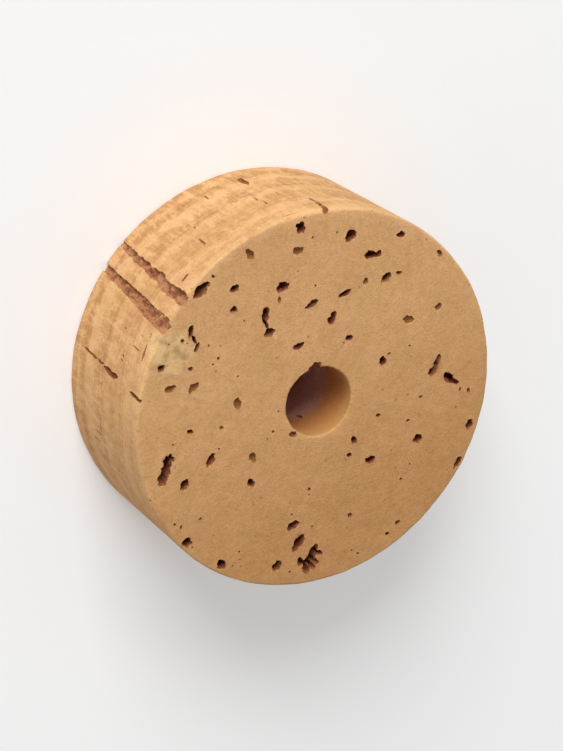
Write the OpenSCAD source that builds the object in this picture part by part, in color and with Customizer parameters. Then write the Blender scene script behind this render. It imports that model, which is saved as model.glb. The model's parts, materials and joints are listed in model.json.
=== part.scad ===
// Natural cork ring: a disc cut from bark, with a straight bore.
// The bark's pores (lenticels) run through it as fine channels, from face to face.
// They open as dark pits and slits in both faces, and lie open where they meet the rim.
// The ring lies on its bottom face, centred on the origin, with the bore along +Z.
// "Clock" is an angle in degrees round the bore, from +X towards +Y.
// "Place" runs across a face, from 0 at the bore's wall to 1 at the rim.

/* [Ring] */
// Outside diameter
ring_d = 31.75; // [24:0.05:50]
// Thickness, along the bore
ring_h = 12.7; // [8:0.1:25]
// Diameter of the bore
bore_d = 5.8; // [4:0.05:10]

/* [Worn edges] */
// Radius worn on the edges between the faces and the rim
rim_wear = 0.3; // [0.1:0.05:0.8]
// Radius worn on the edges between the faces and the bore
bore_wear = 0.2; // [0.1:0.05:0.6]

/* [Pores] */
// Size of the pores, as a share of their usual length and width
pore_size = 1.0; // [0.6:0.05:1.2]
// Lean of every channel towards +X, in degrees, because the bark wasn't quite square to the cut
channel_lean = 4.5; // [0:0.5:8]
// Depth of a pore that only marks the face
skin_depth = 0.5; // [0.3:0.05:1]
// Depth of a common pore
pore_depth = 1.8; // [1:0.1:3]
// Depth of a pore that runs far into the ring
deep_depth = 4.5; // [3:0.1:6]

/* [Rim channels] */
// Width of the broadest open channel at its head, measured round the rim
broad_w = 1.35; // [0.6:0.05:1.8]
// Depth of the broad channels into the rim
broad_depth = 0.6; // [0.2:0.05:1]
// Width of a narrow open channel
narrow_w = 0.5; // [0.3:0.05:0.8]
// Depth of the narrow channels into the rim
narrow_depth = 0.45; // [0.2:0.05:0.8]
// Width of a slit
slit_w = 0.3; // [0.2:0.05:0.5]
// Depth of the slits into the rim
slit_depth = 0.5; // [0.2:0.05:0.8]

/* [Hidden] */
$fn = 96;

rim_r = ring_d / 2;
bore_r = bore_d / 2;
wall = rim_r - bore_r;
// How far a cut runs past the face that it opens into
past = 1;
// A lens rounder than this share of its length is a plain circle
round_share = 0.95;
// Depths by name, for the lists below
skin = skin_depth;
mid = pore_depth;
deep = deep_depth;
through = ring_h + past;

// Single pores of the top face: [clock, place, length, width, turn, depth].
// Turn is the direction of the pore's long way, in degrees from +X.
TOP_PORES = [
    [5, 0.94, 0.9, 0.75, 80, deep],
    [25, 0.86, 0.8, 0.65, 25, mid],
    [28, 0.59, 1.1, 0.65, 155, deep],
    [56, 0.62, 0.4, 0.3, 40, skin],
    [67, 0.90, 0.4, 0.3, 100, mid],
    [72, 0.88, 0.4, 0.35, 150, skin],
    [69, 0.23, 0.45, 0.4, 110, mid],
    [80, 0.17, 0.75, 0.5, 55, deep],
    [79, 0.37, 0.8, 0.65, 150, through],
    [102, 0.59, 0.8, 0.7, 160, deep],
    [108, 0.23, 0.4, 0.3, 100, skin],
    [109, 0.46, 0.3, 0.2, 115, skin],
    [112, 0.93, 0.8, 0.6, 15, deep],
    [129, 0.72, 1.9, 0.65, 90, through],
    [134, 0.58, 0.8, 0.55, 25, mid],
    [137, 0.62, 1.7, 0.5, 22, mid],
    [153, 0.26, 0.8, 0.6, 50, deep],
    [160, 0.74, 0.5, 0.4, 170, skin],
    [165, 0.53, 0.9, 0.5, 115, skin],
    [175, 0.95, 0.65, 0.35, 80, skin],
    [184, 0.70, 0.6, 0.3, 120, skin],
    [188, 0.64, 1.0, 0.6, 165, mid],
    [191, 0.91, 0.7, 0.5, 120, deep],
    [192, 0.21, 0.7, 0.5, 125, deep],
    [197, 0.57, 0.45, 0.35, 30, skin],
    [198, 0.74, 1.4, 0.7, 132, through],
    [206, 0.47, 1.2, 0.5, 152, deep],
    [209, 0.83, 1.05, 0.8, 0, through],
    [211, 0.31, 1.25, 0.55, 18, deep],
    [225, 0.42, 1.25, 0.5, 157, mid],
    [227, 0.92, 0.95, 0.8, 90, deep],
    [229, 0.78, 0.8, 0.55, 135, skin],
    [238, 0.60, 1.1, 0.8, 150, through],
    [240, 0.19, 0.9, 0.45, 147, deep],
    [245, 0.90, 0.75, 0.5, 70, skin],
    [255, 0.78, 0.75, 0.55, 155, mid],
    [260, 0.68, 0.6, 0.45, 135, mid],
    [289, 0.91, 0.65, 0.55, 0, deep],
    [294, 0.66, 1.05, 0.45, 167, skin],
    [295, 0.81, 0.9, 0.6, 142, skin],
    [301, 0.34, 1.0, 0.55, 50, skin],
    [312, 0.65, 0.5, 0.4, 107, mid],
    [328, 0.55, 1.25, 0.7, 5, deep],
    [332, 0.76, 1.0, 0.65, 13, through],
    [342, 0.31, 0.75, 0.45, 50, skin],
    [350, 0.95, 0.8, 0.7, 130, deep],
    [354, 0.42, 0.75, 0.5, 80, deep],
];

// Groups of pores that run into each other, in the same form
TOP_CLUSTERS = [
    // Crumbled patch by the rim, with its tail
    [38, 0.80, 2.0, 1.0, 12, through],
    [41, 0.80, 1.0, 0.4, 100, deep],
    [39, 0.85, 1.0, 0.4, 95, deep],
    [38, 0.88, 1.0, 0.35, 80, mid],
    [36, 0.89, 1.1, 0.45, 55, deep],
    [34, 0.84, 0.6, 0.4, 60, mid],
    [32, 0.71, 1.6, 0.75, 8, through],
    // Crumbled patch a quarter turn on
    [320, 0.79, 0.8, 0.4, 70, mid],
    [321, 0.82, 1.0, 0.6, 40, through],
    [324, 0.84, 1.0, 0.7, 25, deep],
    [326, 0.87, 1.2, 0.75, 32, mid],
    // Zigzag crack
    [279, 0.74, 0.85, 0.35, 15, deep],
    [277, 0.78, 0.9, 0.35, 68, deep],
    [275, 0.83, 1.05, 0.45, 30, deep],
    // Two pits joined by a neck
    [254, 0.39, 1.0, 0.65, 150, deep],
    [253, 0.45, 1.1, 0.35, 62, mid],
    [251, 0.50, 1.2, 0.65, 40, through],
];

// Pores that break through an edge of the top face, in the same form
TOP_NOTCHES = [
    [99, 0.97, 1.1, 0.55, 10, mid],
    [263, 0.94, 1.6, 0.8, 172, mid],
    [227, 0.02, 0.85, 0.45, 140, mid],
    [356, 0.03, 0.65, 0.45, 110, skin],
];

// Pores of the bottom face that stop inside the ring, in the same form
BOTTOM_PORES = [
    [12, 0.45, 1.0, 0.5, 30, mid],
    [24, 0.80, 0.8, 0.6, 100, deep],
    [58, 0.30, 0.7, 0.5, 60, mid],
    [64, 0.68, 1.2, 0.5, 150, deep],
    [88, 0.85, 0.7, 0.6, 20, mid],
    [97, 0.52, 0.9, 0.4, 80, skin],
    [118, 0.78, 0.8, 0.5, 45, deep],
    [142, 0.36, 0.6, 0.5, 0, mid],
    [158, 0.88, 0.9, 0.6, 110, mid],
    [171, 0.60, 1.1, 0.5, 20, deep],
    [176, 0.25, 0.6, 0.4, 70, skin],
    [216, 0.62, 0.9, 0.6, 130, mid],
    [222, 0.28, 0.8, 0.5, 170, deep],
    [248, 0.75, 1.3, 0.5, 60, deep],
    [266, 0.50, 0.7, 0.6, 0, mid],
    [284, 0.60, 1.0, 0.5, 145, deep],
    [290, 0.88, 0.8, 0.6, 30, mid],
    [307, 0.40, 0.7, 0.4, 100, mid],
    [338, 0.62, 0.8, 0.6, 15, deep],
    [346, 0.82, 1.1, 0.5, 80, mid],
];

// Channels that lie open along the rim: [clock, foot width, head width, depth, foot, head].
// Clock is taken at the middle of the run. Foot and head are heights, as shares of the thickness.
RIM_CHANNELS = [
    // Broad pair with a pale strip between them
    [275.3, narrow_w * 1.2, broad_w, broad_depth, 0, 1],
    [267, narrow_w * 0.9, broad_w * 0.8, broad_depth, 0, 1],
    // Slit in three lengths
    [299.2, slit_w, slit_w, slit_depth, 0.85, 1],
    [298, slit_w * 1.6, slit_w * 1.6, slit_depth, 0.46, 0.68],
    [297, slit_w * 0.7, slit_w * 0.7, slit_depth * 0.6, 0.12, 0.46],
    // Short nicks at the edges
    [218, slit_w, slit_w, slit_depth * 0.8, 0.74, 1],
    [226.5, slit_w * 1.2, slit_w * 1.2, slit_depth, 0.12, 0.3],
    // Round the back
    [20, slit_w, slit_w, slit_depth, 0.3, 0.9],
    [64, narrow_w, narrow_w, narrow_depth, 0, 0.55],
    [101, narrow_w, narrow_w, narrow_depth, 0.15, 0.6],
    [146, narrow_w, narrow_w, narrow_depth, 0.2, 1],
    [171, slit_w, slit_w, slit_depth, 0, 0.7],
];

// Section of one channel: a lens, pointed at both ends of its length, or a circle where it is round
module lens(length, width) {
    if (width > length * round_share) {
        circle(d = width);
    } else {
        arc_r = (length * length + width * width) / (4 * width);
        intersection() {
            translate([0, arc_r - width / 2]) circle(r = arc_r);
            translate([0, width / 2 - arc_r]) circle(r = arc_r);
        }
    }
}

// One channel along the bark's leaning grain. It passes the given clock and place at the
// given height, and runs from foot to head, measured along the grain from there.
// Fan turns it sideways about its foot, in degrees.
module channel(clock, place, height, foot, head, fan = 0) {
    from_axis = bore_r + place * wall;
    translate([from_axis * cos(clock), from_axis * sin(clock), height])
        rotate([0, channel_lean, 0])
            translate([0, 0, foot])
                rotate(a = fan, v = [cos(clock), sin(clock), 0])
                    linear_extrude(head - foot) children();
}

// A pore that opens in the top face
module top_pore(pore) {
    channel(pore[0], pore[1], ring_h, -pore[5], past)
        rotate(pore[4]) lens(pore[2] * pore_size, pore[3] * pore_size);
}

// A pore that opens in the bottom face
module bottom_pore(pore) {
    channel(pore[0], pore[1], 0, -past, pore[5])
        rotate(pore[4]) lens(pore[2] * pore_size, pore[3] * pore_size);
}

// A channel that lies open along the rim, as deep as half its lens, with its line on the rim
// at the middle of its run. One that widens is three lenses that fan out from the same foot.
module rim_channel(run) {
    foot = run[4] > 0 ? run[4] * ring_h : -past;
    head = run[5] < 1 ? run[5] * ring_h : ring_h + past;
    half_run = (head - foot) / 2;
    foot_w = run[1];
    deep_way = 2 * run[3];
    fan = atan((run[2] - foot_w) / 2 / (head - foot));
    for (side = fan > 0 ? [-1, 0, 1] : [0])
        channel(run[0], 1, foot + half_run, -half_run, half_run, side * fan)
            rotate(deep_way > foot_w ? run[0] : run[0] + 90)
                lens(max(deep_way, foot_w), min(deep_way, foot_w));
}

// Half section of the plain ring, with its four worn corners
module section() {
    translate([bore_r, bore_wear]) square([wall / 2, ring_h - 2 * bore_wear]);
    translate([bore_r + bore_wear, 0]) square([wall - bore_wear - rim_wear, ring_h]);
    translate([rim_r - wall / 2, rim_wear]) square([wall / 2, ring_h - 2 * rim_wear]);
    for (side = [0, 1]) {
        translate([bore_r + bore_wear, side ? ring_h - bore_wear : bore_wear]) circle(r = bore_wear);
        translate([rim_r - rim_wear, side ? ring_h - rim_wear : rim_wear]) circle(r = rim_wear);
    }
}

module ring() {
    color([0.83, 0.65, 0.42])
        difference() {
            rotate_extrude() section();
            for (pore = concat(TOP_PORES, TOP_CLUSTERS, TOP_NOTCHES)) top_pore(pore);
            for (pore = BOTTOM_PORES) bottom_pore(pore);
            for (run = RIM_CHANNELS) rim_channel(run);
        }
}

ring();
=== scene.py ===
"""Natural cork ring: the finished look of the ring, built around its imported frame.

The ring's skin is one closed surface: its section's outline carried round the bore. The bark's
pores are irregular tubes along the leaning grain, and they are cut out of the skin. A procedural
cork then colours the faces, the growth layers round the rim and the crumbly walls of the pores.
"""
import json
from math import cos, pi, radians, sin, tan

import bmesh
import bpy
import numpy as np
from bpy.props import FloatProperty, FloatVectorProperty, IntProperty, PointerProperty
from bpy.types import Operator, Panel, PropertyGroup
from mathutils import Matrix, Vector


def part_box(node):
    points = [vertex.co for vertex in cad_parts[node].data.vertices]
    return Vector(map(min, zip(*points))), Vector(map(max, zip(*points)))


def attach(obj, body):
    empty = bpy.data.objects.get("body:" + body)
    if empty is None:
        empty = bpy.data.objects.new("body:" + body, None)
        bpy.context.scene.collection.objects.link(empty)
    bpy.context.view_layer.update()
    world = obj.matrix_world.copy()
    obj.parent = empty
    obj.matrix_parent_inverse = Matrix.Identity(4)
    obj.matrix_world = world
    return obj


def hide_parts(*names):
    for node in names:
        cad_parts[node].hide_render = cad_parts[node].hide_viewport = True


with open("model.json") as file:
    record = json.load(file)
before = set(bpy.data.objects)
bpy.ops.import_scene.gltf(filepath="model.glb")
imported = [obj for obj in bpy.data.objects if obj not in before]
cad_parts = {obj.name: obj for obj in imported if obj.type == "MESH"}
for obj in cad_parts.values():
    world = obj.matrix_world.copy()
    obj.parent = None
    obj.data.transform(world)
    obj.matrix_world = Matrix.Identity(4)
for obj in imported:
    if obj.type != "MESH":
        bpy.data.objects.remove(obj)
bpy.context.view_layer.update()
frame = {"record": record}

bl_info = {
    "name": "Cork Ring",
    "version": (1, 0, 0),
    "blender": (4, 5, 0),
    "location": "View3D > Sidebar > Cork Ring",
    "description": "Builds a natural cork ring with its pores, growth layers and studio stage",
    "category": "Add Mesh",
}

MM = 0.001
LOW, HIGH = (np.array(corner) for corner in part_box("ring"))
RIM_R = (HIGH[0] - LOW[0]) / 2
HEIGHT = HIGH[2] - LOW[2]
BORE_R = next(m for m in frame["record"]["mounts"] if m["name"] == "bore")["dims"]["r_mm"] * MM
WALL = RIM_R - BORE_R

# Depths of the pores in mm
SKIN, MID, DEEP, THROUGH = 0.42, 1.8, 4.5, 14.0

# Pores of the top face: (clock, place, length, width, turn, depth), lengths in mm.
# Clock is the angle round the bore from +X in degrees, place runs from 0 at the bore to 1 at the
# rim, and turn is the direction of the pore's long way in degrees from +X.
TOP_PORES = (
    (5, 0.94, 0.9, 0.75, 80, DEEP), (25, 0.86, 0.92, 0.75, 25, MID),
    (28, 0.59, 1.1, 0.65, 155, DEEP), (56, 0.62, 0.47, 0.37, 40, SKIN),
    (67, 0.9, 0.4, 0.3, 100, MID), (72, 0.88, 0.48, 0.42, 150, SKIN),
    (69, 0.23, 0.45, 0.4, 110, DEEP), (80, 0.17, 0.75, 0.5, 55, DEEP),
    (79, 0.37, 0.8, 0.65, 150, THROUGH), (102, 0.59, 0.8, 0.7, 160, DEEP),
    (108, 0.23, 0.45, 0.34, 100, SKIN), (109, 0.46, 0.34, 0.25, 115, SKIN),
    (112, 0.93, 0.85, 0.6, 15, DEEP), (129, 0.72, 1.8, 0.6, 90, THROUGH),
    (134, 0.58, 0.75, 0.5, 25, DEEP), (137, 0.62, 1.7, 0.5, 22, MID),
    (153, 0.26, 0.75, 0.55, 50, DEEP), (160, 0.74, 0.62, 0.5, 170, SKIN),
    (165, 0.53, 1.0, 0.6, 115, SKIN), (175, 0.95, 0.65, 0.34, 80, SKIN),
    (184, 0.7, 0.57, 0.27, 120, SKIN), (188, 0.64, 1.0, 0.6, 165, MID),
    (191, 0.91, 0.72, 0.52, 120, DEEP), (192, 0.21, 0.65, 0.43, 125, DEEP),
    (197, 0.57, 0.52, 0.39, 30, SKIN), (198, 0.74, 1.4, 0.7, 132, THROUGH),
    (206, 0.47, 1.15, 0.46, 152, DEEP), (209, 0.83, 1.05, 0.8, 0, THROUGH),
    (211, 0.31, 1.25, 0.55, 18, DEEP), (225, 0.42, 1.25, 0.5, 157, MID),
    (227, 0.92, 0.95, 0.8, 90, DEEP), (229, 0.78, 0.9, 0.6, 135, SKIN),
    (238, 0.6, 1.1, 0.8, 150, THROUGH), (240, 0.19, 0.95, 0.52, 147, DEEP),
    (245, 0.9, 0.92, 0.58, 70, SKIN), (255, 0.78, 0.75, 0.55, 155, MID),
    (260, 0.68, 0.6, 0.45, 135, MID), (279, 0.85, 0.34, 0.3, 60, SKIN),
    (287, 0.72, 0.4, 0.35, 20, SKIN), (289, 0.91, 0.6, 0.5, 0, MID),
    (294, 0.66, 1.15, 0.55, 167, SKIN), (295, 0.81, 0.92, 0.54, 142, SKIN),
    (301, 0.34, 1.05, 0.55, 50, SKIN), (312, 0.65, 0.5, 0.4, 107, MID),
    (328, 0.55, 1.15, 0.6, 5, DEEP), (332, 0.76, 1.0, 0.65, 13, THROUGH),
    (342, 0.31, 0.9, 0.56, 50, SKIN), (350, 0.95, 0.8, 0.7, 130, DEEP),
    (354, 0.42, 0.75, 0.5, 80, DEEP),
    # Crumbled patch by the rim, with its tail
    (38, 0.8, 1.85, 0.95, 12, THROUGH), (41, 0.8, 0.72, 0.38, 100, MID),
    (39, 0.85, 0.95, 0.5, 95, MID), (38, 0.88, 0.95, 0.45, 80, MID), (36, 0.89, 1.1, 0.6, 55, MID),
    (34, 0.84, 0.8, 0.56, 60, MID), (32, 0.71, 1.6, 0.75, 8, THROUGH),
    # Crumbled patch a quarter turn on
    (320, 0.79, 0.8, 0.4, 70, MID), (321, 0.82, 1.08, 0.66, 40, THROUGH),
    (324, 0.84, 1.15, 0.82, 25, DEEP), (326, 0.87, 1.2, 0.75, 32, MID),
    # Zigzag crack
    (279, 0.74, 0.8, 0.35, 15, MID), (277, 0.78, 0.85, 0.28, 68, MID),
    (275, 0.83, 1.0, 0.42, 30, MID),
    # Two pits joined by a neck
    (254, 0.39, 1.0, 0.65, 150, MID), (253, 0.45, 1.0, 0.3, 62, MID),
    (251, 0.5, 1.2, 0.65, 40, THROUGH),
    # Breaks in the edges of the face
    (99, 0.962, 1.15, 0.52, 10, MID), (263, 0.94, 1.75, 0.84, 172, MID),
    (227, 0.01, 1.0, 0.72, 140, MID), (356, 0.03, 0.72, 0.48, 110, SKIN),
)

# Pores of the bottom face that stop inside the ring, in the same form
BOTTOM_PORES = (
    (12, 0.45, 1.0, 0.5, 30, MID), (24, 0.8, 0.8, 0.6, 100, DEEP), (58, 0.3, 0.7, 0.5, 60, MID),
    (64, 0.68, 1.2, 0.5, 150, DEEP), (88, 0.85, 0.7, 0.6, 20, MID), (97, 0.52, 0.9, 0.4, 80, SKIN),
    (118, 0.78, 0.8, 0.5, 45, DEEP), (142, 0.36, 0.6, 0.5, 0, MID), (158, 0.88, 0.9, 0.6, 110, MID),
    (171, 0.6, 1.1, 0.5, 20, DEEP), (176, 0.25, 0.6, 0.4, 70, SKIN),
    (216, 0.62, 0.9, 0.6, 130, MID), (222, 0.28, 0.8, 0.5, 170, DEEP),
    (248, 0.75, 1.3, 0.5, 60, DEEP), (266, 0.5, 0.7, 0.6, 0, MID), (284, 0.6, 1.0, 0.5, 145, DEEP),
    (290, 0.88, 0.8, 0.6, 30, MID), (307, 0.4, 0.7, 0.4, 100, MID), (338, 0.62, 0.8, 0.6, 15, DEEP),
    (346, 0.82, 1.1, 0.5, 80, MID),
)

# Channels that lie open along the rim: (clock, foot width, head width, depth, foot, head), widths
# and depth in mm, foot and head as shares of the height. Clock is taken at the middle of the run.
RIM_CHANNELS = (
    # Broad pair with a pale strip between them
    (275.3, 0.6, 1.35, 0.45, -0.08, 1.08), (267, 0.45, 1.08, 0.45, -0.08, 1.08),
    # Slit in three lengths
    (299.2, 0.34, 0.34, 0.4, 0.85, 1.08), (298, 0.52, 0.52, 0.45, 0.46, 0.68),
    (297, 0.24, 0.24, 0.16, 0.16, 0.46),
    # Short nicks at the edges
    (218, 0.26, 0.52, 0.26, 0.72, 1.08), (226.5, 0.5, 0.5, 0.2, 0.12, 0.31),
    # Round the back
    (20, 0.3, 0.3, 0.5, 0.3, 0.9), (64, 0.5, 0.5, 0.45, -0.08, 0.55),
    (101, 0.5, 0.5, 0.45, 0.15, 0.6), (146, 0.5, 0.5, 0.45, 0.2, 0.96),
    (171, 0.3, 0.3, 0.5, -0.08, 0.7),
)

# Cracks along the growth layers where the rim shows them: (clock and height share of one end,
# the same of the other end, width, depth), width and depth in mm
LAYER_CRACKS = (
    (264.6, 0.866, 261.8, 0.862, 0.32, 0.3), (284.3, 0.896, 289.4, 0.908, 0.28, 0.2),
    (281.0, 0.892, 282.5, 0.896, 0.16, 0.12), (226, 0.955, 232, 0.948, 0.1, 0.15),
    (203, 0.19, 208, 0.196, 0.12, 0.2), (312, 0.445, 319, 0.438, 0.1, 0.15),
    (38, 0.44, 46, 0.446, 0.12, 0.2), (121, 0.705, 128, 0.7, 0.12, 0.2),
)

# Dense lines between the growth layers: (height as a share of the thickness, half width in mm,
# strength)
GROWTH_LINES = (
    (0.135, 0.06, 0.4), (0.16, 0.13, 0.9), (0.19, 0.05, 0.5), (0.24, 0.05, 0.3), (0.32, 0.05, 0.3),
    (0.4, 0.07, 0.45), (0.445, 0.12, 0.7), (0.475, 0.05, 0.35), (0.61, 0.07, 0.35),
    (0.66, 0.05, 0.4), (0.715, 0.1, 0.65), (0.765, 0.06, 0.5), (0.8, 0.05, 0.6), (0.88, 0.06, 0.4),
    (0.945, 0.05, 0.3),
)
# Darkness of the growth layers, from 0 to 1, at heights as shares of the thickness
# The dark foot, from share 0 to 0.05, is partly painted shade along the bottom edge, over the
# layers' own tone
GROWTH_BANDS_AND_FOOT_SHADE = (
    (0.0, 1.0), (0.05, 0.8), (0.09, 0.4), (0.12, 0.8), (0.16, 1.0), (0.21, 0.55), (0.26, 0.1),
    (0.32, 0.5), (0.38, 0.75), (0.44, 0.95), (0.48, 0.5), (0.52, 0.35), (0.59, 0.85), (0.65, 0.9),
    (0.71, 0.95), (0.76, 0.6), (0.81, 0.3), (0.87, 0.65), (0.92, 0.45), (1.0, 0.05),
)

# Middle of the stain on the top face, and the distances from it over which it fades, in mm
STAIN_MIDDLE = (3.5, -13.9, 12.7)
STAIN_FADE = (2.5, 4.1)


# ---------------- smooth noise

def waves(points, size, seed, count=20):
    """Smooth noise of unit spread: a sum of sine waves, each with its own seeded direction,
    length near `size` and phase. The last axis of points holds the coordinates."""
    rng = np.random.default_rng(seed)
    direction = rng.normal(size=(count, points.shape[-1]))
    direction /= np.linalg.norm(direction, axis=1, keepdims=True)
    turns = direction * (2 * pi / (size * rng.uniform(0.7, 1.5, (count, 1))))
    phase = rng.uniform(0, 2 * pi, count)
    return np.sin(points @ turns.T + phase).sum(-1) * (2 / count) ** 0.5


def smooth(low, high, value):
    """Smooth step: 0 up to low, 1 from high, and an S-curve between them."""
    t = np.clip((value - low) / (high - low), 0, 1)
    return t * t * (3 - 2 * t)


def unit(vector):
    """The vector at length 1"""
    vector = np.array(vector, dtype=float)
    return vector / np.linalg.norm(vector)


# ---------------- settings

def length_setting(name, description, default, low, high):
    """A length property, given in mm and kept in metres"""
    return FloatProperty(name=name, description=description, default=default * MM,
                         min=low * MM, max=high * MM, unit="LENGTH", precision=6)


def colour_setting(name, description, default):
    """A colour property"""
    return FloatVectorProperty(name=name, description=description, default=default,
                               min=0, max=1, subtype="COLOR")


class RingShape(PropertyGroup):
    """Sizes of what the saw, the sander and the bark leave on the ring"""

    rim_wear: length_setting(
        "Rim wear", "Mean radius worn on the edges between faces and rim", 0.30, 0.1, 0.8)
    bore_wear: length_setting(
        "Bore wear", "Mean radius worn on the edges between faces and bore", 0.20, 0.1, 0.6)
    growth_relief: length_setting(
        "Growth relief", "Depth of the grooves along the growth lines", 0.05, 0, 0.15)
    face_relief: length_setting(
        "Face relief", "Height of the slow waves that sanding leaves in the skin", 0.02, 0, 0.1)
    crumble: length_setting("Crumble", "Roughness of the walls inside the pores", 0.07, 0, 0.15)
    grain_lean: FloatProperty(
        name="Grain lean", description="Lean of the pores towards +X",
        default=radians(4.5), min=0, max=radians(8), subtype="ANGLE")
    fine_pores: IntProperty(
        name="Fine pores", description="Number of fine pores scattered over each face",
        default=44, min=0, max=200)
    seed: IntProperty(
        name="Seed", description="Seed of the wander, the crumble and the fine pores",
        default=3, min=0, max=999)


class CorkFinish(PropertyGroup):
    """Colours and surface of the cork"""

    pale: colour_setting("Pale cork", "Colour of the lighter cork", (0.805, 0.450, 0.198))
    pale_rim: colour_setting(
        "Pale rim", "Colour of the lighter layers round the rim", (0.795, 0.477, 0.222))
    tan: colour_setting("Tan cork", "Colour of the darker cork", (0.60, 0.306, 0.114))
    line: colour_setting(
        "Growth line", "Colour of the dense line that ends a year's growth", (0.36, 0.165, 0.068))
    stain: colour_setting(
        "Stain", "Colour of the grey-green stain by the rim", (0.84, 0.548, 0.250))
    stain_speck: colour_setting(
        "Stain specks", "Colour of the grey specks in the stain", (0.42, 0.270, 0.118))
    pit_wall: colour_setting(
        "Pit wall", "Colour of the pits that hardly go below the skin", (0.335, 0.145, 0.048))
    pore_mouth: colour_setting(
        "Pore mouth", "Colour of a deep pore's wall near its mouth", (0.29, 0.082, 0.035))
    pore_floor: colour_setting("Pore floor", "Colour deep inside a pore", (0.34, 0.085, 0.048))
    channel_floor: colour_setting(
        "Channel floor", "Colour inside the broad channels along the rim", (0.45, 0.222, 0.106))
    bore_lip: colour_setting(
        "Bore lip", "Colour of the bore's wall at its two mouths", (0.53, 0.288, 0.084))
    # Painted shade: the bore's wall is coloured darker than its lip, for the shade that falls
    # inside the bore
    bore_wall_painted_shade: colour_setting(
        "Bore wall", "Colour of the bore's wall, scorched by the drill", (0.51, 0.205, 0.060))
    # Painted light: a pale pinkish middle stands in for the bounce light in the bore's shaded depth
    bore_middle_painted_light: colour_setting(
        "Bore middle", "Colour of the bore's wall halfway through the ring", (0.70, 0.420, 0.410))
    warm: colour_setting(
        "Warm patches", "Tint of the cork's pinker patches", (0.72, 0.375, 0.175))
    olive: colour_setting(
        "Olive patches", "Tint of the cork's yellower patches", (0.66, 0.39, 0.135))
    # Painted shade: the cork is multiplied darker towards +X +Y, standing in for the lamp's falloff
    # across the face
    painted_falloff_shade: colour_setting(
        "Dark side", "What the cork's colour is multiplied by towards +X +Y", (0.80, 0.74, 0.66))
    roughness: FloatProperty(
        name="Roughness", description="Roughness of the sanded cork",
        default=0.8, min=0, max=1, subtype="FACTOR")


class StageLook(PropertyGroup):
    """The camera, the lamps and the floor"""

    elevation: FloatProperty(
        name="Elevation", description="Height of the camera above the horizon",
        default=radians(55), subtype="ANGLE")
    roll: FloatProperty(
        name="Roll", description="Clockwise turn of the picture",
        default=radians(125), subtype="ANGLE")
    distance: FloatProperty(
        name="Distance", description="Distance from the camera to the ring's middle",
        default=0.189, min=0.05, max=2, unit="LENGTH")
    span: FloatProperty(
        name="Span", description="Share of the picture's long side that the ring's diameter takes",
        default=0.52, min=0.05, max=1, subtype="FACTOR")
    key_power: FloatProperty(
        name="Key lamp", description="Power of the soft lamp on the side of the visible rim",
        default=6.9, min=0, unit="POWER")
    sky: FloatProperty(
        name="Sky", description="Strength of the even white light from all round",
        default=0.42, min=0, max=2)
    floor: colour_setting("Floor", "Colour of the floor", (0.86, 0.86, 0.86))


# ---------------- the skin

# Grid of the skin, and the seeds of the waves that shape it
SIDES = 288
BORE_ROWS, FACE_ROWS, RIM_ROWS, CORNER_ROWS = 14, 16, 88, 4
LAYER_SEED, WEAR_SEED, RELIEF_SEED, LINE_SEED = 11, 21, 31, 40


def layer_height(points):
    """Height of each point among the bark's growth layers: its own height, bent by slow waves
    across the ring and by finer ones along the layers"""
    bend = waves(points[..., :2], 15 * MM, LAYER_SEED) * 0.2 * MM
    ripple = waves(points * (1, 1, 0.5), 2.6 * MM, LAYER_SEED + 1) * 0.035 * MM
    return points[..., 2] + bend + ripple


def growth_lines(points):
    """Strength of the growth lines at each point: a bell curve across each line, which fades
    in and out along its way"""
    height = layer_height(points)
    total = np.zeros(points.shape[:-1])
    for number, (share, half_width, strength) in enumerate(GROWTH_LINES):
        fade = 0.65 + 0.4 * waves(points[..., :2], 6 * MM, LINE_SEED + number)
        fade = np.clip(fade, 0, 1.3)
        total += strength * fade * np.exp(-(((height - share * HEIGHT) / (half_width * MM)) ** 2))
    return total


def worn(mean, clock, seed):
    """Radius of a worn edge round the clock: its mean, with slow and quick changes"""
    circle = np.stack((np.cos(clock), np.sin(clock)), -1) * RIM_R
    change = 0.15 * waves(circle, 9 * MM, seed) + 0.1 * waves(circle, 1.8 * MM, seed + 1)
    return np.clip(mean * (1 + change), 0.5 * mean, 1.5 * mean)


def section_outline(shape, clock):
    """Outline of the section at each clock angle, as rows of points by columns of angles: down
    the bore's wall, out under the ring, up the rim and back over the top face, with a quarter
    circle of the worn radius at each corner. Returns r, z and the outward normal's r and z."""
    bore_top, bore_foot, rim_top, rim_foot = (
        worn(mean, clock, WEAR_SEED + 2 * number) for number, mean in enumerate(
            (shape.bore_wear, shape.bore_wear, shape.rim_wear, shape.rim_wear)))
    bore, rim, top, foot = (np.full_like(clock, value) for value in (BORE_R, RIM_R, HEIGHT, 0))

    def straight(rows, start, end, normal):
        share = (np.arange(rows) / rows)[:, None]
        r = start[0] + share * (end[0] - start[0])
        z = start[1] + share * (end[1] - start[1])
        return r, z, np.full_like(r, normal[0]), np.full_like(r, normal[1])

    def corner(r, z, radius, first):
        angle = radians(first) + (np.arange(CORNER_ROWS) / CORNER_ROWS)[:, None] * pi / 2
        angle = angle + np.zeros_like(clock)
        return r + radius * np.cos(angle), z + radius * np.sin(angle), np.cos(angle), np.sin(angle)

    stretches = (
        straight(BORE_ROWS, (bore, top - bore_top), (bore, bore_foot), (-1, 0)),
        corner(bore + bore_foot, bore_foot, bore_foot, 180),
        straight(FACE_ROWS, (bore + bore_foot, foot), (rim - rim_foot, foot), (0, -1)),
        corner(rim - rim_foot, rim_foot, rim_foot, 270),
        straight(RIM_ROWS, (rim, rim_foot), (rim, top - rim_top), (1, 0)),
        corner(rim - rim_top, top - rim_top, rim_top, 0),
        straight(FACE_ROWS, (rim - rim_top, top), (bore + bore_top, top), (0, 1)),
        corner(bore + bore_top, top - bore_top, bore_top, 90),
    )
    return [np.concatenate(part) for part in zip(*stretches)]


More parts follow.
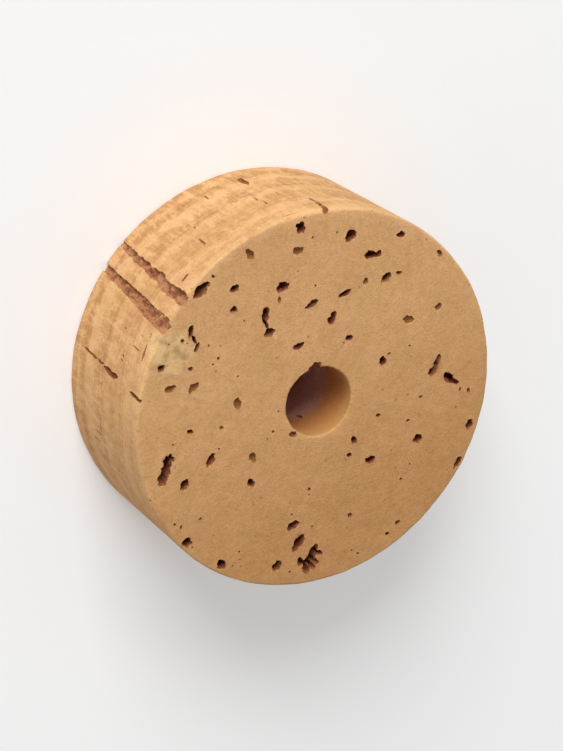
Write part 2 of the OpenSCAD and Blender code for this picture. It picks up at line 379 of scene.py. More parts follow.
def relief(shape, points, normal_r):
    """Distance that the skin stands off its plain shape: the rim's growth grooves, which fade
    where the surface turns away from it, and slow waves that dip below the plain shape"""
    grooves = shape.growth_relief * growth_lines(points) * np.clip(normal_r, 0, 1) ** 2
    slow = waves(points, 6 * MM, RELIEF_SEED) + 0.6 * waves(points, 1.5 * MM, RELIEF_SEED + 1)
    return shape.face_relief * np.minimum(0.5 * slow - 1, 0) - grooves


def grid_quads(rows, columns, closed_rows):
    """Quads of a grid of points that closes along its columns and, if asked, along its rows"""
    row = np.arange(rows if closed_rows else rows - 1)[:, None]
    column = np.arange(columns)[None, :]
    above, beside = (row + 1) % rows, (column + 1) % columns
    around = (row * columns + column, row * columns + beside,
              above * columns + beside, above * columns + column)
    return np.stack(around, -1).reshape(-1, 4)


def ring_skin(shape):
    """Vertices and quads of the ring without its pores: the section's outline carried round
    the bore, moved along its normal by the relief"""
    clock = np.arange(SIDES) * 2 * pi / SIDES
    r, z, normal_r, normal_z = section_outline(shape, clock)
    off = relief(shape, np.stack((r * np.cos(clock), r * np.sin(clock), z), -1), normal_r)
    r = r + off * normal_r
    z = z + off * normal_z + LOW[2]
    points = np.stack((r * np.cos(clock), r * np.sin(clock), z), -1)
    return points.reshape(-1, 3), grid_quads(len(r), SIDES, closed_rows=True)


# ---------------- the pores

# Seeds that each cut takes, the head width in mm over which a channel is a broad one, how far
# the smallest cuts reach, and the room kept between the cuts of one batch
SEED_STEP = 7
BROAD_FROM = 0.8
SMALL_REACH, BATCH_GAP = 0.5 * MM, 0.6 * MM


def tube(at, along, across, spans, shape, seed, wall="mid_wall", deep_stray=0.0, bow=0.0):
    """One pore as a closed tube, with the mark of its wall: an irregular lens carried along a
    wandering line.

    Spans holds a row for each section: its distance along the line, its half length and its
    half width. A lens is (cos a, sin a |sin a|^p), and p grows as the lens gets slimmer. A
    channel's section is the rounded box (cos a |cos a|^q, sin a |sin a|^q), with q below 0, and
    it has more points. Smooth noise then moves each point out or in, in lobes on a long pore and
    finely on any. Each section strays a little sideways, more so deep inside where deep_stray
    says how far, and a bowed line bulges across like a parabola."""
    along = unit(along)
    across = unit(across - along * np.dot(across, along))
    beside = np.cross(along, across)
    distance, half_long, half_wide = np.array(spans).T[:, :, None]
    channel = wall in ("channel_wall", "slit_wall")
    sides = 32 if channel else int(np.clip(10 + half_long.max() / MM * 20, 12, 26))
    angle = (np.arange(sides) + 0.5) * 2 * pi / sides
    if channel:
        power_u = power_v = -0.4
    else:
        power_u, power_v = 0, 0.4 * (1 - np.clip(half_wide / half_long, 0, 1))
    u = half_long * np.cos(angle) * np.abs(np.cos(angle)) ** power_u
    v = half_wide * np.sin(angle) * np.abs(np.sin(angle)) ** power_v
    line = np.stack((distance[:, 0], np.full(len(spans), seed * MM)), -1)
    strayed = smooth(0, 1.5 * MM, distance) * 0.07 * MM
    strayed = strayed + smooth(2 * MM, 9 * MM, distance) * deep_stray
    u = u + waves(line, 3 * MM, seed)[:, None] * strayed
    v = v + waves(line, 3 * MM, seed + 1)[:, None] * strayed
    u = u + bow * (1 - (distance / np.abs(distance).max()) ** 2)
    place = at + distance[..., None] * along + u[..., None] * across + v[..., None] * beside
    lobes = 1 if channel else smooth(0.25 * MM, 0.9 * MM, half_long)
    rough = lobes * waves(place, 0.8 * MM, seed + 2) + 0.7 * waves(place, 0.3 * MM, seed + 3)
    most = (0.3 if channel else 0.2) * np.minimum(half_long, half_wide)
    grow = np.minimum(shape.crumble, most) * rough
    deep, wide = (1.6, 0.45) if channel else (1, 1)
    place += (deep * grow * np.cos(angle))[..., None] * across
    place += (wide * grow * np.sin(angle))[..., None] * beside
    rows = len(spans)
    first, last = np.arange(sides), np.arange(sides) + (rows - 1) * sides
    quads = grid_quads(rows, sides, closed_rows=False)
    return place.reshape(-1, 3), quads, (first[::-1], last), wall


def pore_spans(length, width, depth):
    """Sections of a pore from outside its mouth to its end: it flares over its last tenth of a
    millimetre, narrows slowly on its way in, and is rounded off at its end. Each step on the
    way down is a quarter longer than the last."""
    flare = min(0.07 * MM, width / 7)
    steps = np.concatenate((
        np.array((-0.6, -0.02, 0.03, 0.08, 0.15, 0.25, 0.4, 0.6, 0.85)) * MM,
        1.2 * MM * 1.25 ** np.arange(12)))
    steps = np.append(steps[steps < depth - 0.14 * MM], depth - np.array((0.1, 0.03, 0)) * MM)
    narrow = 1 - 0.25 * np.clip(steps / depth, 0, 1) ** 2
    narrow[-3:] *= (0.9, 0.65, 0.25)
    lip = flare * np.exp(-np.maximum(steps, 0) / (0.05 * MM))
    return np.stack((steps, length / 2 * narrow + lip, width / 2 * narrow + lip), -1)


def heading(angle):
    """Level unit vector at an angle from +X"""
    return np.array((cos(angle), sin(angle), 0))


def on_ring(clock, place, height):
    """Point at a clock angle and a place between bore and rim, at a height above the floor"""
    from_axis = BORE_R + place * WALL
    return np.array((from_axis * cos(clock), from_axis * sin(clock), LOW[2] + height))


def pore_wall(depth):
    """Mark of a pore's wall by the pore's depth in mm: the deeper, the darker at its mouth"""
    if depth < 1:
        return "pit_wall"
    return "mid_wall" if depth < 3 else "deep_wall"


def face_pores(shape, rows, top, seed):
    """Tubes of one face's pores. Like every kind of cut, each comes with its middle and its
    reach."""
    down = -1 if top else 1
    along = (down * tan(shape.grain_lean), 0, down)
    for number, (clock, place, length, width, turn, depth) in enumerate(rows):
        at = on_ring(radians(clock), place, HEIGHT if top else 0)
        across = heading(radians(turn))
        spans = pore_spans(length * MM, width * MM, depth * MM)
        pore_seed = seed + SEED_STEP * number
        pore = tube(at, along, across, spans, shape, pore_seed, pore_wall(depth), 0.28 * MM)
        yield pore, at, length * MM / 2


def fine_pores(shape, seed):
    """Rows for a face's fine pores: scattered evenly by area, 0.12 to 0.28 mm wide, shallow"""
    rng = np.random.default_rng(seed)
    count = shape.fine_pores
    edge = 0.5 * MM
    from_axis = np.sqrt(rng.uniform((BORE_R + edge) ** 2, (RIM_R - edge) ** 2, count))
    width = 0.12 + 0.16 * rng.uniform(0, 1, count) ** 2
    return zip(
        rng.uniform(0, 360, count), (from_axis - BORE_R) / WALL, width * rng.uniform(1, 2, count),
        width, rng.uniform(0, 180, count), rng.uniform(0.2, 0.45, count))


def rim_channels(shape, seed):
    """Tubes of the channels that lie open along the rim: each follows the leaning grain through
    the rim's surface at the middle of its run, so that about half of its section is cut away"""
    for number, (clock, foot_w, head_w, depth, foot, head) in enumerate(RIM_CHANNELS):
        outward = heading(radians(clock))
        along = unit((tan(shape.grain_lean), 0, 1))
        half_run = (head - foot) * HEIGHT / 2
        at = on_ring(radians(clock), 1, (foot + head) / 2 * HEIGHT)
        steps = np.linspace(-half_run, half_run, max(8, int(2 * half_run / (0.18 * MM))))
        share = (steps + half_run) / (2 * half_run)
        width = foot_w + (head_w - foot_w) * share
        shallow = np.sqrt(width / head_w) * smooth(-0.35, 0.25, share)
        end = smooth(-0.2 * MM, 0.6 * MM, half_run - np.abs(steps))
        ripple = 1 + 0.12 * waves(steps[:, None], 1.6 * MM, seed + number)
        spans = np.stack((steps, depth * MM * shallow * end * ripple, width / 2 * MM * end), -1)
        wall = "channel_wall" if head_w > BROAD_FROM else "slit_wall"
        yield tube(at, along, outward, spans, shape, seed + SEED_STEP * number, wall), at, half_run


def tapered(half_run, half_deep, half_wide, rows):
    """Sections of a straight cut that tapers like an ellipse towards both its ends"""
    steps = np.linspace(-half_run, half_run, rows)
    taper = np.sqrt(1.02 - (steps / half_run) ** 2)
    return np.stack((steps, half_deep * taper, half_wide * taper), -1)


def layer_cracks(shape, seed):
    """Tubes of the cracks that run round the rim along a growth layer, straight between their
    ends but for the bow that keeps them on the rim"""
    for number, (clock, height, clock_2, height_2, width, depth) in enumerate(LAYER_CRACKS):
        start = on_ring(radians(clock), 1, height * HEIGHT)
        end = on_ring(radians(clock_2), 1, height_2 * HEIGHT)
        at = (start + end) / 2
        half_run = np.linalg.norm(end - start) / 2
        bow = RIM_R - np.hypot(at[0], at[1])
        spans = tapered(half_run, depth * MM, width / 2 * MM, 24)
        outward = unit((at[0], at[1], 0))
        crack = tube(at, end - start, outward, spans, shape, seed + SEED_STEP * number, bow=bow)
        yield crack, at, half_run


def rim_nicks(shape, seed, count=36):
    """Tubes of the fine upright nicks scattered round the rim: pores that only graze it"""
    rng = np.random.default_rng(seed)
    for number in range(count):
        clock = rng.uniform(0, 2 * pi)
        outward = heading(clock)
        at = on_ring(clock, 1, rng.uniform(0.08, 0.92) * HEIGHT)
        half_run = rng.uniform(0.2, 0.8) * MM
        half_deep, half_wide = rng.uniform(0.08, 0.18) * MM, rng.uniform(0.05, 0.1) * MM
        spans = tapered(half_run, half_deep, half_wide, 8)
        along = (tan(shape.grain_lean), 0, 1)
        nick = tube(at, along, outward, spans, shape, seed + SEED_STEP * number, "pit_wall")
        yield nick, at, half_run


def bore_pits(shape, seed, count=7):
    """Tubes of the small pits that the drill tore in the bore's wall"""
    rng = np.random.default_rng(seed)
    for number in range(count):
        clock = rng.uniform(0, 2 * pi)
        outward = heading(clock)
        at = on_ring(clock, 0, rng.uniform(0.1, 0.9) * HEIGHT)
        width = rng.uniform(0.15, 0.4)
        spans = pore_spans(width * rng.uniform(1, 2) * MM, width * MM, rng.uniform(0.25, 0.5) * MM)
        pit = tube(at, outward, (0, 0, 1), spans, shape, seed + SEED_STEP * number)
        yield pit, at, SMALL_REACH


def edge_chips(shape, seed, count=26):
    """Tubes of the small chips out of the ring's four edges. Each bites in at 45 degrees from
    the middle of the worn edge."""
    rng = np.random.default_rng(seed)
    for number in range(count):
        clock = rng.uniform(0, 2 * pi)
        outward = heading(clock)
        by_rim, by_top = rng.uniform() < 0.9, rng.uniform() < 0.6
        wear = shape.rim_wear if by_rim else shape.bore_wear
        sideways, upright = (1 if by_rim else -1), (1 if by_top else -1)
        out = unit(sideways * outward + upright * np.array((0, 0, 1)))
        corner = on_ring(clock, 1 if by_rim else 0, HEIGHT if by_top else 0)
        at = corner - out * wear * (2 ** 0.5 - 1)
        width = rng.uniform(0.10, 0.22) * MM
        spans = pore_spans(width * rng.uniform(1.2, 3), width, rng.uniform(0.13, 0.18) * MM)
        across = (-sin(clock), cos(clock), 0)
        chip = tube(at, -out, across, spans, shape, seed + SEED_STEP * number, "ring_skin")
        yield chip, at, SMALL_REACH


def apart(tubes):
    """Batches of tubes in which no two come near each other, so that each batch is one clean
    cutter"""
    batches = []
    for item in tubes:
        _, at, reach = item
        for batch in batches:
            if all(np.linalg.norm(at - other) > reach + far + BATCH_GAP for _, other, far in batch):
                batch.append(item)
                break
        else:
            batches.append([item])
    return [[item[0] for item in batch] for batch in batches]


# ---------------- cutting

def mark(name):
    """Material that only marks where a face comes from, until the cork replaces it"""
    return bpy.data.materials.get(name) or bpy.data.materials.new(name)


def new_mesh(name, points, faces, marks):
    """A mesh of these points and faces, whose materials are each face's mark"""
    mesh = bpy.data.meshes.new(name)
    mesh.from_pydata(points, [], faces)
    names = sorted(set(marks))
    for mark_name in names:
        mesh.materials.append(mark(mark_name))
    numbers = np.searchsorted(names, marks).astype(np.int32)
    mesh.polygons.foreach_set("material_index", numbers)
    return mesh


def cutter(tubes):
    """One mesh of several closed tubes"""
    points, faces, marks, start = [], [], [], 0
    for spots, quads, ends, wall in tubes:
        points.append(spots)
        faces.extend((quads + start).tolist())
        faces.extend((end + start).tolist() for end in ends)
        marks.extend([wall] * (len(quads) + len(ends)))
        start += len(spots)
    return new_mesh("cutter", np.concatenate(points), faces, marks)


def cut(mesh, tubes):
    """The mesh with each batch of tubes taken away in turn, by a Boolean that is then applied"""
    for batch in apart(tubes):
        body = bpy.data.objects.new("cut_body", mesh)
        tool = bpy.data.objects.new("cut_tool", cutter(batch))
        for item in (body, tool):
            bpy.context.scene.collection.objects.link(item)
        boolean = body.modifiers.new("pores", "BOOLEAN")
        boolean.operation = "DIFFERENCE"
        boolean.solver = "MANIFOLD"
        boolean.material_mode = "TRANSFER"
        boolean.object = tool
        graph = bpy.context.evaluated_depsgraph_get()
        mesh = bpy.data.meshes.new_from_object(body.evaluated_get(graph))
        for item in (body, tool):
            bpy.data.objects.remove(item)
    return mesh


def values_of(items, name, width=1, kind=int):
    """One property of all the items of a mesh, as an array"""
    values = np.empty(len(items) * width, dtype=kind)
    items.foreach_get(name, values)
    return values


def without_crumbs(mesh):
    """The mesh without the crumbs that the cuts left loose. Every vertex takes the lowest number
    among its neighbours' until none changes, and only the commonest number stays. Then the
    vertices that only two edges meet at go too, because an exporter's triangles can double up
    across them."""
    edges = values_of(mesh.edges, "vertices", 2)
    one, other = edges.reshape(-1, 2).T
    lowest = np.arange(len(mesh.vertices))
    before = None
    while before is None or (lowest != before).any():
        before = lowest.copy()
        shared = np.minimum(lowest[one], lowest[other])
        np.minimum.at(lowest, one, shared)
        np.minimum.at(lowest, other, shared)
        lowest = lowest[lowest]
    loose = lowest != np.bincount(lowest).argmax()
    idle = np.bincount(edges, minlength=len(lowest)) == 2
    shell = bmesh.new()
    shell.from_mesh(mesh)
    shell.verts.ensure_lookup_table()
    crumbs, joins = ([shell.verts[number] for number in np.flatnonzero(group)]
                     for group in (loose, idle & ~loose))
    bmesh.ops.dissolve_verts(shell, verts=joins)
    bmesh.ops.delete(shell, geom=crumbs, context="VERTS")
    shell.to_mesh(mesh)
    shell.free()


def mark_surfaces(mesh):
    """Point attributes that the cork reads: depth, how far a pore's wall lies below the skin in
    mm; shade, how dark the pore is, from 0 in a pit to 1 in a deep pore; channel, 1 in the broad
    channels; side, 1 where the layers are cut across; bore, how far the bore's wall lies below
    the nearer face in mm; and layer, the height among the growth layers in mm"""
    points = values_of(mesh.vertices, "co", 3, float).reshape(-1, 3)
    loops = values_of(mesh.loops, "vertex_index")
    slot_of_loop = np.repeat(values_of(mesh.polygons, "material_index"),
                             values_of(mesh.polygons, "loop_total"))
    names = [material.name for material in mesh.materials]

    def touched(*marks):
        flag = np.zeros(len(points))
        flag[loops[np.isin(slot_of_loop, [names.index(name) for name in marks])]] = 1
        return flag

    from_axis = np.hypot(points[:, 0], points[:, 1])
    height = points[:, 2] - LOW[2]
    below = np.minimum(HEIGHT - height, height)
    below = np.minimum(below, np.minimum(RIM_R - from_axis, from_axis - BORE_R))
    wall = touched("pit_wall", "mid_wall", "deep_wall", "channel_wall", "slit_wall")
    rim_side = smooth(RIM_R - 0.45 * MM, RIM_R - 0.1 * MM, from_axis)
    bore_side = 1 - smooth(BORE_R + 0.1 * MM, BORE_R + 0.4 * MM, from_axis)
    values = {
        "depth": wall * np.clip(below, 0, None) / MM,
        "shade": np.maximum(0.4 * touched("mid_wall", "slit_wall"), touched("deep_wall")),
        "channel": touched("channel_wall"),
        "side": np.clip(rim_side + 0.25 * bore_side + 0.5 * wall, 0, 1),
        "bore": bore_side * np.clip(np.minimum(height, HEIGHT - height), 0, None) / MM,
        "layer": layer_height(points - (0, 0, LOW[2])) / MM,
    }
    for name, value in values.items():
        attribute = mesh.attributes.new(name, "FLOAT", "POINT")
        attribute.data.foreach_set("value", value.astype(np.float32))


# ---------------- the cork

def feed(tree, item, inputs):
    """Set or link a node's inputs by name or number"""
    for name, value in inputs.items():
        if isinstance(value, bpy.types.NodeSocket):
            tree.links.new(value, item.inputs[name])
        else:
            item.inputs[name].default_value = value


def put(tree, kind, inputs=(), **settings):
    """Add a shader node of this kind, with its inputs and settings"""
    item = tree.nodes.new("ShaderNode" + kind)
    for name, value in settings.items():
        setattr(item, name, value)
    feed(tree, item, dict(inputs))
    return item


def noise(tree, place, size, detail=2.0, roughness=0.5):
    """Noise with features near this size in metres, from 0 to 1"""
    return put(tree, "TexNoise", {
        "Vector": place, "Scale": 1 / size, "Detail": detail, "Roughness": roughness,
    }).outputs["Fac"]


def lumps(tree, place, size):
    """Voronoi lumps near this size in metres: a random number in each, and the distance from
    its middle"""
    pattern = put(tree, "TexVoronoi", {"Vector": place, "Scale": 1 / size})
    return parts(tree, pattern.outputs["Color"])[0], pattern.outputs["Distance"]


def parts(tree, vector):
    """The three numbers of a vector or a colour"""
    return put(tree, "SeparateXYZ", {0: vector}).outputs[:3]


def joined(tree, x, y, z):
    """A vector from its three numbers"""
    return put(tree, "CombineXYZ", {"X": x, "Y": y, "Z": z}).outputs[0]


def ramp(tree, value, low, high, first=0.0, last=1.0):
    """The value stretched from low..high to first..last, and held beyond them"""
    return put(tree, "MapRange", {
        "Value": value, "From Min": low, "From Max": high, "To Min": first, "To Max": last,
    }, interpolation_type="SMOOTHSTEP").outputs["Result"]


def swing(tree, value, first, last):
    """A noise's usual range, 0.3 to 0.7, stretched to first..last"""
    return ramp(tree, value, 0.3, 0.7, first, last)


def sums(tree, operation, first, second, clamp=False):
    """One arithmetic step on two numbers"""
    return put(tree, "Math", {0: first, 1: second},
               operation=operation, use_clamp=clamp).outputs[0]


def add(tree, first, second, clamp=False):
    """Sum of two numbers"""
    return sums(tree, "ADD", first, second, clamp)


def times(tree, first, second):
    """Product of two numbers"""
    return sums(tree, "MULTIPLY", first, second)


def opaque(paint):
    """A colour property with full alpha, as a socket takes it, or a socket as it is"""
    return paint if isinstance(paint, bpy.types.NodeSocket) else (*paint, 1.0)


def blend(tree, share, under, over, mode="MIX"):
    """Two colours mixed by a share"""
    return put(tree, "Mix", {0: share, 6: opaque(under), 7: opaque(over)},
               data_type="RGBA", blend_type=mode).outputs[2]


def by_height(tree, layer, levels):
    """Number that follows the growth layers: a curve through the given height shares and values"""
    curve = put(tree, "FloatCurve", {"Value": sums(tree, "DIVIDE", layer, HEIGHT / MM)})
    points = curve.mapping.curves[0].points
    points[0].location, points[1].location = levels[0], levels[-1]
    for level in levels[1:-1]:
        points.new(*level)
    curve.mapping.update()
    return curve.outputs[0]


def line_levels():
    """Height shares and values of the dense lines: up to a line's strength and down again"""
    levels = [(0, 0)]
    for level, half_width, strength in GROWTH_LINES:
        foot = 1.5 * half_width * MM / HEIGHT
        levels += [(level - foot, 0), (level, strength), (level + foot, 0)]
    return levels + [(1, 0)]


def layered_grain(tree, place, layer):
    """Tone of the growth layers where they are cut across: broad bands, with painted shade at
    the foot, fine streaks along them and a comb of cells across them, which is bolder low down.
    The tone weakens towards +X.
    Returns the tone, the streaks and the comb."""
    x, y, z = parts(tree, place)
    along_layer = joined(tree, times(tree, x, 0.12), times(tree, y, 0.12), times(tree, layer, MM))
    streaks = noise(tree, along_layer, 0.28 * MM, 4, 0.65)
    comb = noise(tree, joined(tree, x, y, times(tree, z, 0.3)), 0.55 * MM, 5, 0.72)
    blur = swing(tree, noise(tree, place, 1.4 * MM, 4, 0.6), -0.3, 0.3)
    # The broad bands' dark foot is partly painted shade along the rim's bottom edge
    bands = by_height(tree, add(tree, layer, blur), GROWTH_BANDS_AND_FOOT_SHADE)
    teeth = times(tree, ramp(tree, comb, 0.34, 0.66, -0.5, 0.5), add(tree, bands, 0.6))
    teeth = times(tree, teeth, ramp(tree, layer, 5, 9, 1.5, 0.78))
    grain = add(tree, swing(tree, streaks, -0.3, 0.3), teeth)
    grain = add(tree, grain, ramp(tree, bands, 0, 1, -0.5, 0.66))
    return times(tree, grain, ramp(tree, x, 5 * MM, 11 * MM, 1, 0.6)), streaks, comb


def sanded_skin(tree, place, tone, comb, layer, side, finish):
    """Colour of the skin: pale to tan by the tone, with warm and olive patches, painted shade
    towards +X +Y for a lamp's falloff, and the dense lines between the growth layers"""
    light = blend(tree, side, finish.pale, finish.pale_rim)
    skin = blend(tree, ramp(tree, tone, -0.6, 1.5), light, finish.tan)
    skin = blend(tree, ramp(tree, tone, 1.0, 2.2, 0, 0.3), skin, finish.line)
    patches = noise(tree, place, 2.4 * MM, 4, 0.62)
    skin = blend(tree, ramp(tree, patches, 0.5, 0.72, 0, 0.5), skin, finish.warm)
    skin = blend(tree, ramp(tree, patches, 0.5, 0.3, 0, 0.5), skin, finish.olive)
    x, y, _ = parts(tree, place)
    # Painted shade: darker towards +X +Y, standing in for the lamp's falloff across the face
    falloff_shade_slant = add(tree, times(tree, x, 0.8), times(tree, y, 1.2))
    skin = blend(tree, ramp(tree, falloff_shade_slant, -10 * MM, 19 * MM), skin, finish.painted_falloff_shade, "MULTIPLY")
    lines = times(tree, by_height(tree, layer, line_levels()), ramp(tree, side, 0, 1, 0, 0.6))
    fade = noise(tree, place, 3 * MM, 3)
    lines = times(tree, lines, ramp(tree, fade, 0.32, 0.6, 0.25, 1))
    lines = times(tree, lines, ramp(tree, comb, 0.4, 0.62, 0.45, 1.25))
    return blend(tree, lines, skin, finish.line)


def bore_painted_shade(tree, skin, bore, finish):
    """The skin's colour down the bore: the lip colour at its mouths, painted shade that darkens
    the wall further in, and a pale pinkish middle that is painted bounce light
    """
    # Painted shade darkens the wall inwards from the lip, then painted bounce light lightens it
    # halfway through
    bore_shading = blend(tree, ramp(tree, bore, 0.2, 1.8), finish.bore_lip, finish.bore_wall_painted_shade)
    bore_shading = blend(tree, ramp(tree, bore, 3.2, 5.8), bore_shading, finish.bore_middle_painted_light)
    return blend(tree, ramp(tree, bore, 0.02, 0.3, 0, 0.9), skin, bore_shading)


def flecked(tree, skin, place, cells, finish):
    """The skin's colour with small brown flecks where cells are clogged"""
    number, distance = lumps(tree, place, 0.9 * MM)
    few = ramp(tree, number, 0.5, 0.9)
    near = ramp(tree, add(tree, distance, times(tree, cells, 0.18)), 0.16, 0.26, 1, 0)
    return blend(tree, times(tree, times(tree, few, near), 0.7), skin, finish.line)


def stained(tree, skin, place, clots, finish):
    """The skin's colour with the specked stain, which fades out raggedly round its middle"""
    centred = put(tree, "Mapping", {
        "Vector": place, "Location": [-middle for middle in STAIN_MIDDLE], "Scale": [1 / MM] * 3})
    reach = put(tree, "VectorMath", {0: centred.outputs[0]}, operation="LENGTH")
    ragged = add(tree, reach.outputs["Value"], times(tree, clots, 3))
    specks = ramp(tree, noise(tree, place, 0.9 * MM, 4, 0.6), 0.45, 0.66, 0, 0.85)
    tint = blend(tree, specks, finish.stain, finish.stain_speck)
    return blend(tree, ramp(tree, ragged, *STAIN_FADE, 0.85, 0), skin, tint)


def broken_wall(tree, place, depth, shade, channel, finish):
    """Colour of the walls below the skin: light brown in a pit, reddish brown at a deep pore's
    mouth and darker further in, with pale crumbs, and patchy in a broad channel"""
    wall = blend(tree, ramp(tree, depth, 0.2, 1.3), finish.pore_mouth, finish.pore_floor)
    wall = blend(tree, shade, finish.pit_wall, wall)
    crumbs = ramp(tree, noise(tree, place, 0.4 * MM, 4, 0.65), 0.56, 0.72, 0, 0.5)
    wall = blend(tree, times(tree, crumbs, ramp(tree, depth, 0.4, 1.2, 1, 0.1)), wall, finish.tan)
    grit = noise(tree, place, 0.55 * MM, 5, 0.7)
    floor = blend(tree, ramp(tree, grit, 0.44, 0.6), finish.channel_floor, finish.pore_mouth)
    clumps = ramp(tree, noise(tree, place, 1.4 * MM, 4, 0.7), 0.52, 0.66, 0, 0.7)
    floor = blend(tree, clumps, floor, finish.pore_floor)
    floor = blend(tree, ramp(tree, depth, 0.06, 0.36, 0.7, 0), floor, finish.tan)
    return blend(tree, times(tree, channel, ramp(tree, depth, 0.9, 1.5, 1, 0)), wall, floor)


def cork(finish):
    """The cork's material: mottled grain, growth layers where they are cut across, flecks and a
    stain on the skin, and crumbly walls that darken into the pores"""
    material = bpy.data.materials.new("natural_cork")
    material.use_nodes = True
    tree = material.node_tree
    shader = tree.nodes["Principled BSDF"]
    place = put(tree, "TexCoord").outputs["Object"]
    depth, side, shade, channel, layer, bore = (
        put(tree, "Attribute", attribute_name=name).outputs["Fac"]
        for name in ("depth", "side", "shade", "channel", "layer", "bore"))

    # Mottled grain: faint clouds, small clots, packed grains and fine cells
    clots = noise(tree, place, 0.8 * MM, 4, 0.6)
    cells = noise(tree, place, 0.2 * MM, 3, 0.65)
    tone = swing(tree, noise(tree, place, 3.0 * MM, 3), -0.18, 0.18)
    tone = add(tree, tone, swing(tree, clots, 0.18, 0.66))
    tone = add(tree, tone, swing(tree, cells, -0.3, 0.3))
    tone = add(tree, tone, ramp(tree, lumps(tree, place, 0.45 * MM)[0], 0, 1, -0.12, 0.12))
    grain, streaks, comb = layered_grain(tree, place, layer)
    tone = add(tree, tone, times(tree, grain, ramp(tree, side, 0, 1, 0.12, 1)))

    skin = sanded_skin(tree, place, tone, comb, layer, side, finish)
    skin = flecked(tree, bore_painted_shade(tree, skin, bore, finish), place, cells, finish)
    skin = stained(tree, skin, place, clots, finish)
    wall = broken_wall(tree, place, depth, shade, channel, finish)
    inside = ramp(tree, depth, 0, 0.1)

    # Fine relief, and a surface that is duller in the pores
    height = add(tree, cells, times(tree, clots, 0.4))
    height = add(tree, height, noise(tree, place, 0.11 * MM, 2, 0.6))
    height = add(tree, height, times(tree, times(tree, streaks, side), 0.6))
    bump = put(tree, "Bump", {"Strength": 0.8, "Distance": 0.05 * MM, "Height": height})
    rough = add(tree, finish.roughness - 0.08, times(tree, clots, 0.16), clamp=True)
    feed(tree, shader, {
        "Base Color": blend(tree, inside, skin, wall),
        "Normal": bump.outputs[0],
        "Roughness": add(tree, rough, times(tree, inside, 0.1), clamp=True),
        "Specular IOR Level": 0.3,
    })
    return material


# ---------------- operators

# Seeds of the kinds of cut, above the ring's own
TOP_SEED, NICK_SEED, PIT_SEED, CHANNEL_SEED, CHIP_SEED, CRACK_SEED = (
    2000, 5000, 6000, 7000, 8000, 9000)
SHARP_ANGLE = radians(38)


class MakeRing(Operator):
    """Make the ring: its skin, its pores and its cork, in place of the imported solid"""

    bl_idname = "cork_ring.make_ring"
    bl_label = "Make Ring"

    def execute(self, context):
        shape = context.scene.cork_ring_shape
        seed = 1000 * shape.seed
        points, faces = ring_skin(shape)
        mesh = new_mesh("ring_skin", points, faces, ["ring_skin"] * len(faces))
        for top, pores in ((True, TOP_PORES), (False, BOTTOM_PORES)):
            rows = (*pores, *fine_pores(shape, seed + top))
            mesh = cut(mesh, face_pores(shape, rows, top, seed + TOP_SEED * top))
        nicks, pits = rim_nicks(shape, seed + NICK_SEED), bore_pits(shape, seed + PIT_SEED)
        mesh = cut(mesh, (*nicks, *pits))
        mesh = cut(mesh, rim_channels(shape, seed + CHANNEL_SEED))
        mesh = cut(mesh, layer_cracks(shape, seed + CRACK_SEED))
        mesh = cut(mesh, edge_chips(shape, seed + CHIP_SEED))
        without_crumbs(mesh)
        mark_surfaces(mesh)
        mesh.materials.clear()
        mesh.materials.append(cork(context.scene.cork_ring_finish))
        mesh.polygons.foreach_set("material_index", np.zeros(len(mesh.polygons), dtype=np.int32))
        mesh.shade_smooth()
        mesh.set_sharp_from_angle(angle=SHARP_ANGLE)
        piece = bpy.data.objects.new("natural_cork_ring", mesh)
        context.scene.collection.objects.link(piece)
        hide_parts("ring")
        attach(piece, "root")
        return {"FINISHED"}


# Where the soft lamp stands and how wide it is, the camera's side, how far the floor reaches, and
# how much it glows where the camera sees it. Lengths are in metres.
KEY_CLOCK, KEY_ELEVATION, KEY_DISTANCE, KEY_SIZE = radians(240), radians(29), 0.9, 0.5
CAMERA_CLOCK = radians(-90)
FLOOR_REACH, FLOOR_GLOW = 2.0, 0.2
WHITE = (1, 1, 1, 1)


def seen(tree):
    """Number that is 1 on rays from the camera, straight, off gloss or through glass, and 0 on
    the rays that light the ring"""
    rays = put(tree, "LightPath").outputs
    straight = sums(tree, "MAXIMUM", rays["Is Camera Ray"], rays["Is Glossy Ray"])
    return sums(tree, "MAXIMUM", straight, rays["Is Transmission Ray"])


def stage_floor(look):
    """A wide floor under the ring. The camera sees it a little lighter than it is, so that it
    reads as a white table and still takes the ring's shadow."""
    points = [(FLOOR_REACH * x, FLOOR_REACH * y, LOW[2])
              for x, y in ((-1, -1), (1, -1), (1, 1), (-1, 1))]
    mesh = bpy.data.meshes.new("floor")
    mesh.from_pydata(points, [], [(0, 1, 2, 3)])
    material = bpy.data.materials.new("pale_floor")
    material.use_nodes = True
    tree = material.node_tree
    surface = tree.nodes["Principled BSDF"]
    feed(tree, surface, {
        "Base Color": opaque(look.floor),
        "Roughness": 0.9,
        "Specular IOR Level": 0.1,
        "Emission Color": WHITE,
        "Emission Strength": times(tree, seen(tree), FLOOR_GLOW),
    })
    mesh.materials.append(material)
    return bpy.data.objects.new("floor", mesh)


def stage_world(look):
    """Even white light from all round, which the camera sees as plain white"""
    world = bpy.data.worlds.new("soft_white")
    world.use_nodes = True
    tree = world.node_tree
    sky = tree.nodes["Background"]
    feed(tree, sky, {"Color": WHITE, "Strength": ramp(tree, seen(tree), 0, 1, look.sky, 1)})
    return world


def aim(item, place, target, roll=0.0):
    """Put a lamp or the camera in place, looking at the target, with its picture turned
    clockwise by the roll"""
    back = (place - target).normalized()
    right = Vector((0, 0, 1)).cross(back).normalized()
    up = back.cross(right)
    turned = right * cos(roll) + up * sin(roll)
    frame_axes = Matrix((turned, back.cross(turned), back)).transposed()
    item.matrix_world = Matrix.Translation(place) @ frame_axes.to_4x4()


def towards(clock, elevation):
    """Unit vector towards a clock angle and an elevation"""
    return Vector((cos(elevation) * cos(clock), cos(elevation) * sin(clock), sin(elevation)))


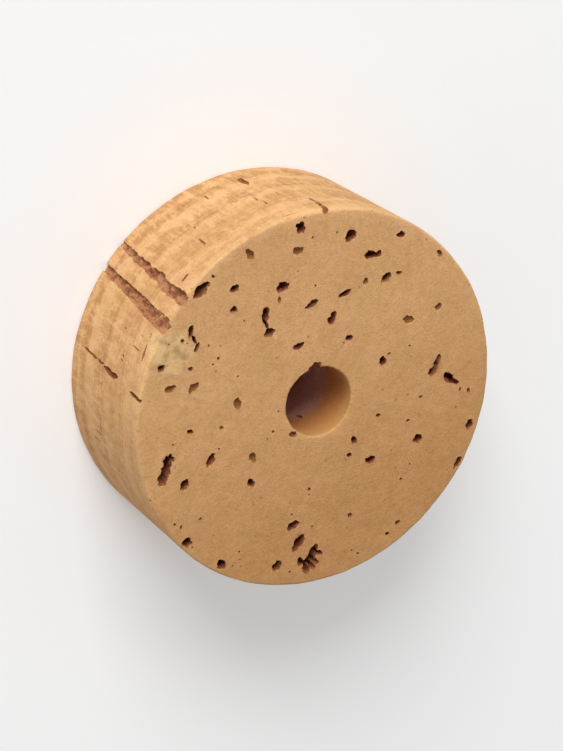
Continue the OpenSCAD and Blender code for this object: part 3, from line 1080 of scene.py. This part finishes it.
class MakeStage(Operator):
    """Make the floor, the light and the camera"""

    bl_idname = "cork_ring.make_stage"
    bl_label = "Make Stage"

    def execute(self, context):
        scene = context.scene
        look = scene.cork_ring_stage
        middle = Vector((0, 0, LOW[2] + HEIGHT / 2))
        floor = stage_floor(look)
        key = bpy.data.lights.new("key", "AREA")
        key.energy = look.key_power
        key.size = KEY_SIZE
        key_lamp = bpy.data.objects.new("key", key)
        aim(key_lamp, middle + towards(KEY_CLOCK, KEY_ELEVATION) * KEY_DISTANCE, middle)

        camera = bpy.data.cameras.new("camera")
        camera.sensor_width = 36
        camera.clip_start = 0.01
        camera.lens = camera.sensor_width * look.span * look.distance / (2 * RIM_R)
        eye = bpy.data.objects.new("camera", camera)
        eye_place = middle + towards(CAMERA_CLOCK, look.elevation) * look.distance
        aim(eye, eye_place, middle, look.roll)
        for item in (floor, key_lamp, eye):
            scene.collection.objects.link(item)
        scene.camera = eye
        scene.world = stage_world(look)
        scene.view_settings.view_transform = "Standard"
        return {"FINISHED"}


class CorkRingPanel(Panel):
    """Lists the ring's sizes, colours and steps"""

    bl_idname = "VIEW3D_PT_cork_ring"
    bl_label = "Cork Ring"
    bl_space_type = "VIEW_3D"
    bl_region_type = "UI"
    bl_category = "Cork Ring"

    def draw(self, context):
        layout = self.layout
        for settings, operator in (
                (context.scene.cork_ring_shape, None),
                (context.scene.cork_ring_finish, MakeRing.bl_idname),
                (context.scene.cork_ring_stage, MakeStage.bl_idname)):
            box = layout.box()
            for name in settings.bl_rna.properties.keys():
                if name not in {"rna_type", "name"}:
                    box.prop(settings, name)
            if operator:
                box.operator(operator)


CLASSES = (RingShape, CorkFinish, StageLook, MakeRing, MakeStage, CorkRingPanel)


def register():
    for cls in CLASSES:
        bpy.utils.register_class(cls)
    bpy.types.Scene.cork_ring_shape = PointerProperty(type=RingShape)
    bpy.types.Scene.cork_ring_finish = PointerProperty(type=CorkFinish)
    bpy.types.Scene.cork_ring_stage = PointerProperty(type=StageLook)


def unregister():
    del bpy.types.Scene.cork_ring_stage
    del bpy.types.Scene.cork_ring_finish
    del bpy.types.Scene.cork_ring_shape
    for cls in reversed(CLASSES):
        bpy.utils.unregister_class(cls)


def main():
    register()
    bpy.ops.cork_ring.make_stage()
    bpy.ops.cork_ring.make_ring()


if __name__ == "__main__":
    main()
